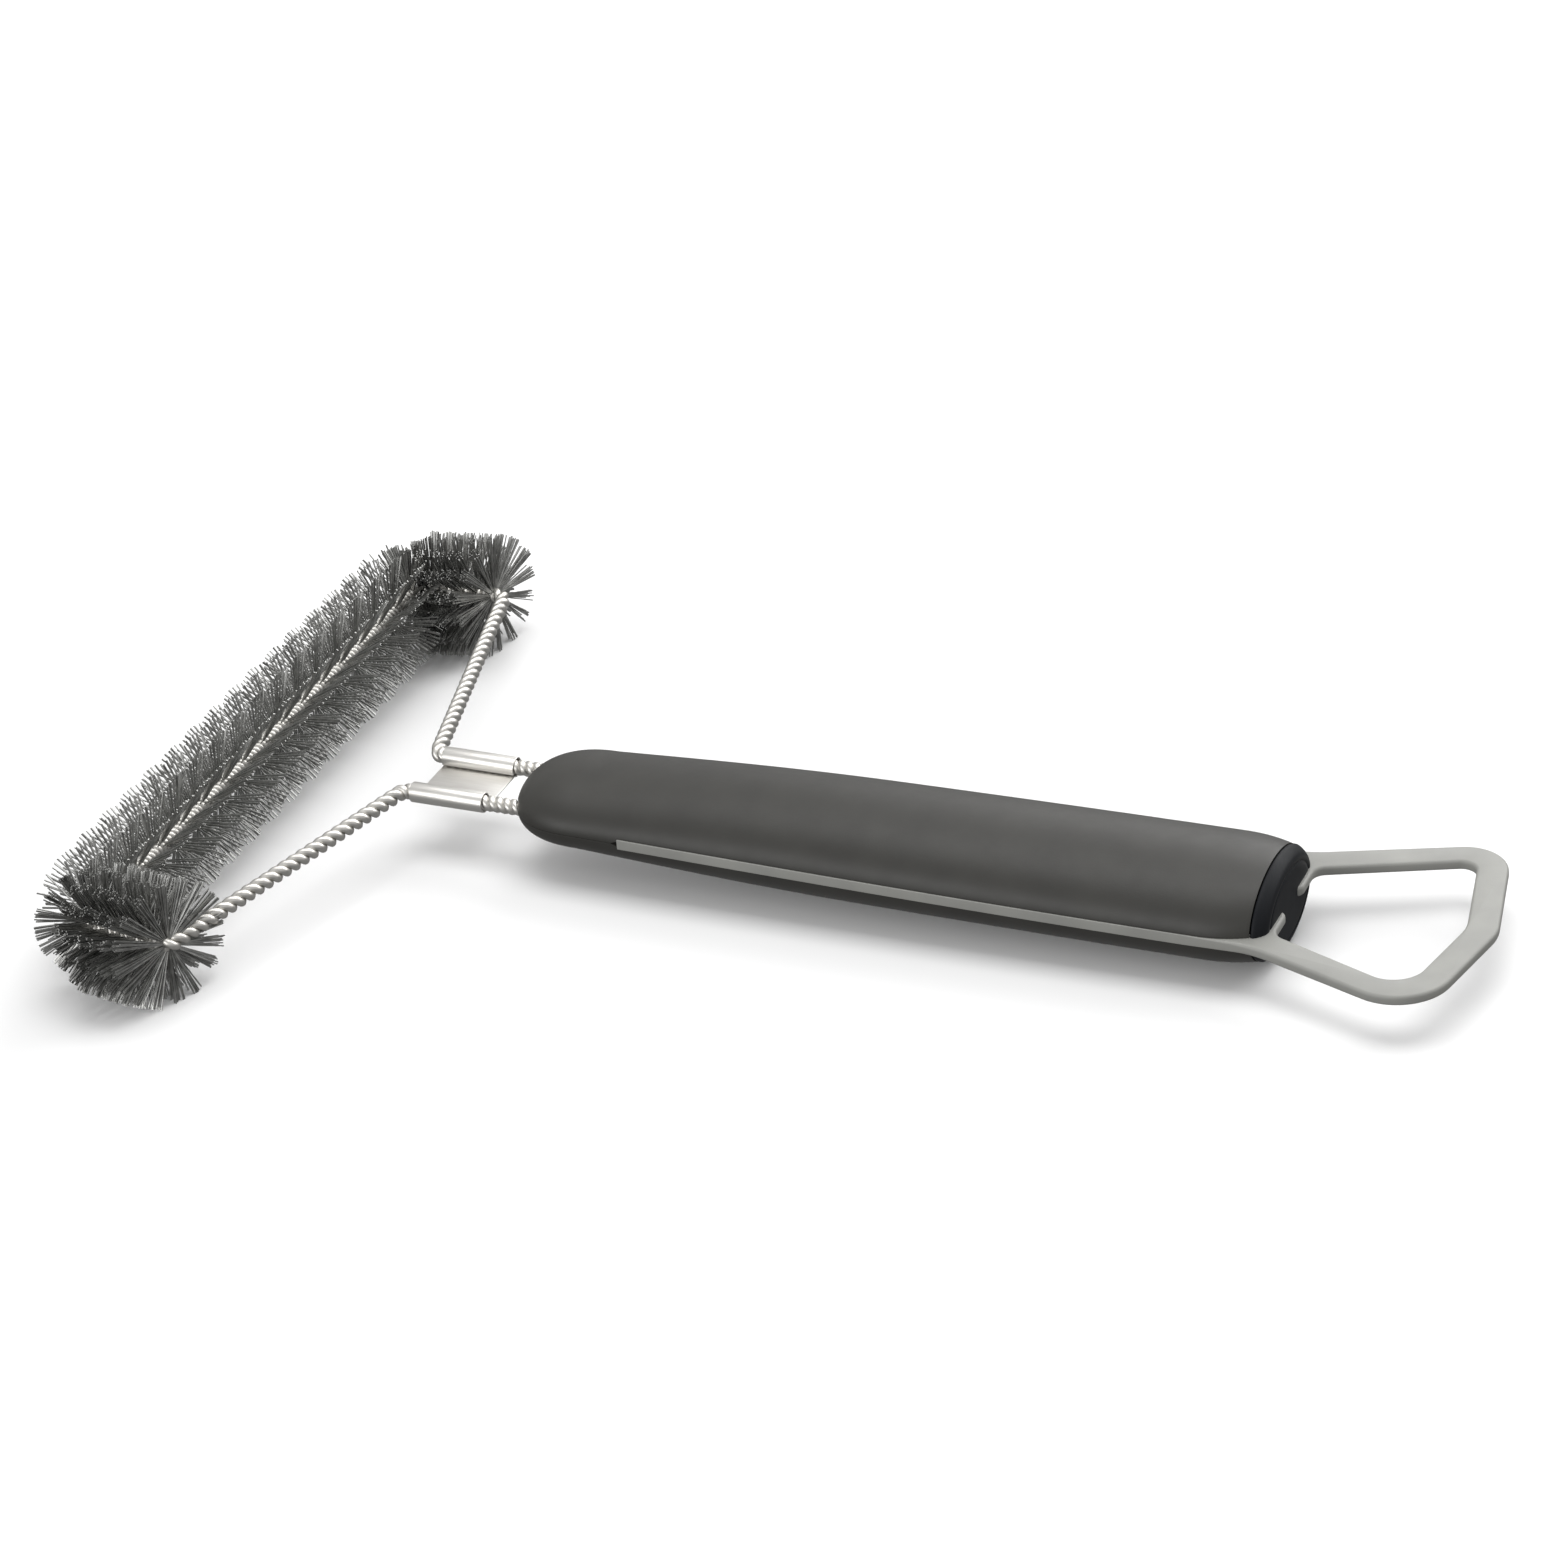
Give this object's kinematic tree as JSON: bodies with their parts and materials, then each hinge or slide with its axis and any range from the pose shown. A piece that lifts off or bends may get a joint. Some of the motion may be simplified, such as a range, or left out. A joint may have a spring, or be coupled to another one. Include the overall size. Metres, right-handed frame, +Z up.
{
  "type": "grill cleaning brush",
  "caption": "Wire grill brush: a twisted-wire head with bristles on three sides, a clip, a two-shell plastic grip and a hanging loop behind it.",
  "frame": {"origin": "centre of the brush's outline in plan, on the surface it rests on", "axes": "+X along the grip from the bristled head to the hanging loop, +Y across the head, +Z up"},
  "size_m": [0.3122, 0.1946, 0.0293],
  "materials": {
    "grip_plastic": "fine satin texture, moulded dark grey",
    "cap_plastic": "satin, moulded near-black grey",
    "insert_plastic": "satin, moulded light grey",
    "inner_plastic": "plain moulded, hidden inside the grip",
    "stem_steel": "bright drawn wire",
    "bristle_steel": "fine drawn wire, greyish",
    "clip_steel": "bright rolled sheet, fine lengthwise grain",
    "inner_steel": "plain zinc-grey steel, hidden inside the grip",
    "screw_steel": "plain steel, recessed"
  },
  "bodies": {
    "root": {"handle_top_shell": "grip_plastic", "handle_bottom_shell": "grip_plastic", "rear_cap": "cap_plastic", "hang_loop_insert": "insert_plastic", "stem_wire_a": "stem_steel", "stem_wire_b": "stem_steel", "bracket_clip": "clip_steel", "wire_ferrules": "inner_steel", "wire_clamp_block": "inner_plastic", "clamp_block_screws": "inner_steel", "shell_screws": "screw_steel", "bristles_left_leg": "bristle_steel", "bristles_left_corner": "bristle_steel", "bristles_bar_1": "bristle_steel", "bristles_bar_2": "bristle_steel", "bristles_bar_3": "bristle_steel", "bristles_bar_4": "bristle_steel", "bristles_bar_5": "bristle_steel", "bristles_right_corner": "bristle_steel", "bristles_right_leg": "bristle_steel"}
  },
  "joints": []
}
